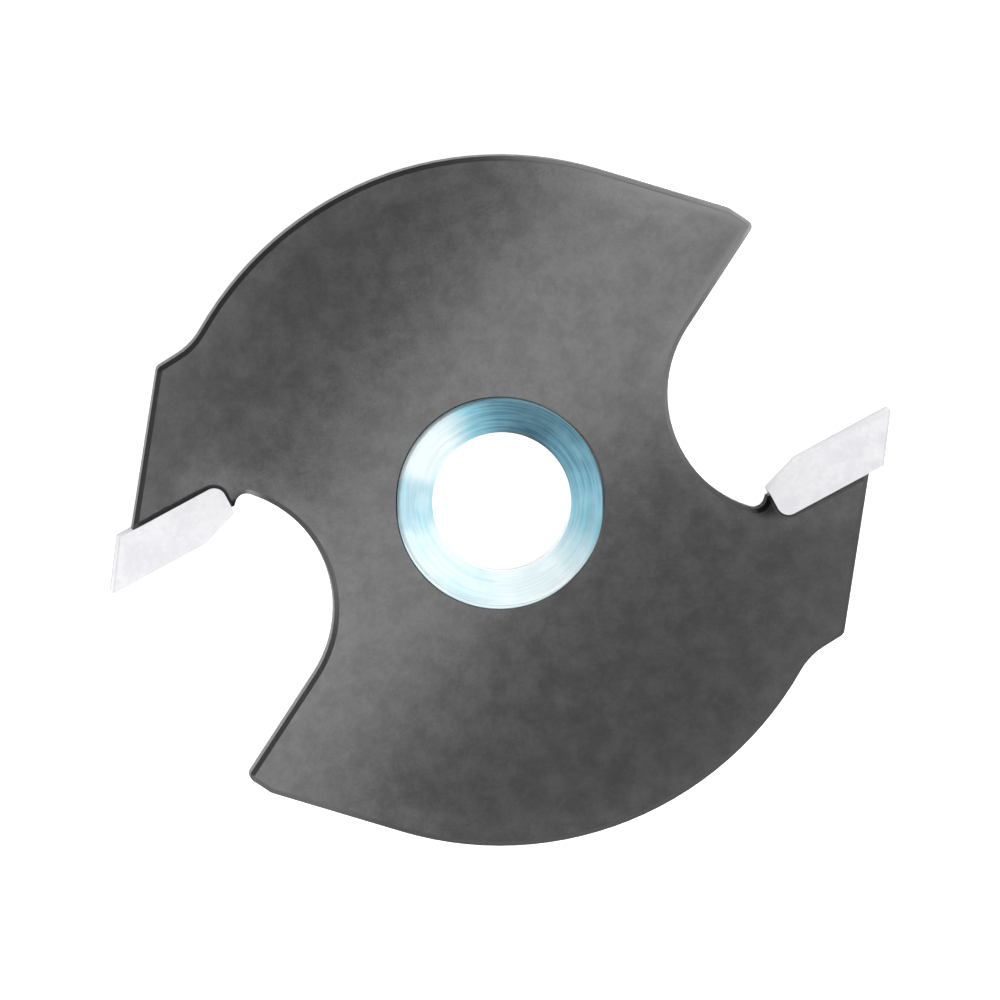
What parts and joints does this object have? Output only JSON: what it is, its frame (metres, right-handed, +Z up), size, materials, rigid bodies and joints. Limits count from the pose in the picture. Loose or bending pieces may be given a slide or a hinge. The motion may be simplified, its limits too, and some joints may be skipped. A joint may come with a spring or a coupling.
{
  "type": "slotting cutter",
  "caption": "Two-wing slotting cutter for a router or spindle: satin steel body with a turned hub and bore, round gullets and brazed carbide tips.",
  "frame": {"origin": "centre of the bore at the hub's lower face, on the plane that the cutter lies on", "axes": "+Z up along the bore axis; +X through the cutting corner of tip 1"},
  "size_m": [0.0476, 0.041, 0.004],
  "materials": {
    "body_steel": "dark satin plate with a fine mottle; bare bright turned faces on the hub",
    "tip_carbide": "light grey ground carbide",
    "braze_alloy": "silver braze, smooth and a little uneven"
  },
  "bodies": {
    "root": {"cutter_body": "body_steel", "carbide_tip_1": "tip_carbide", "carbide_tip_2": "tip_carbide", "braze_seam_1": "braze_alloy", "braze_seam_2": "braze_alloy"}
  },
  "joints": []
}
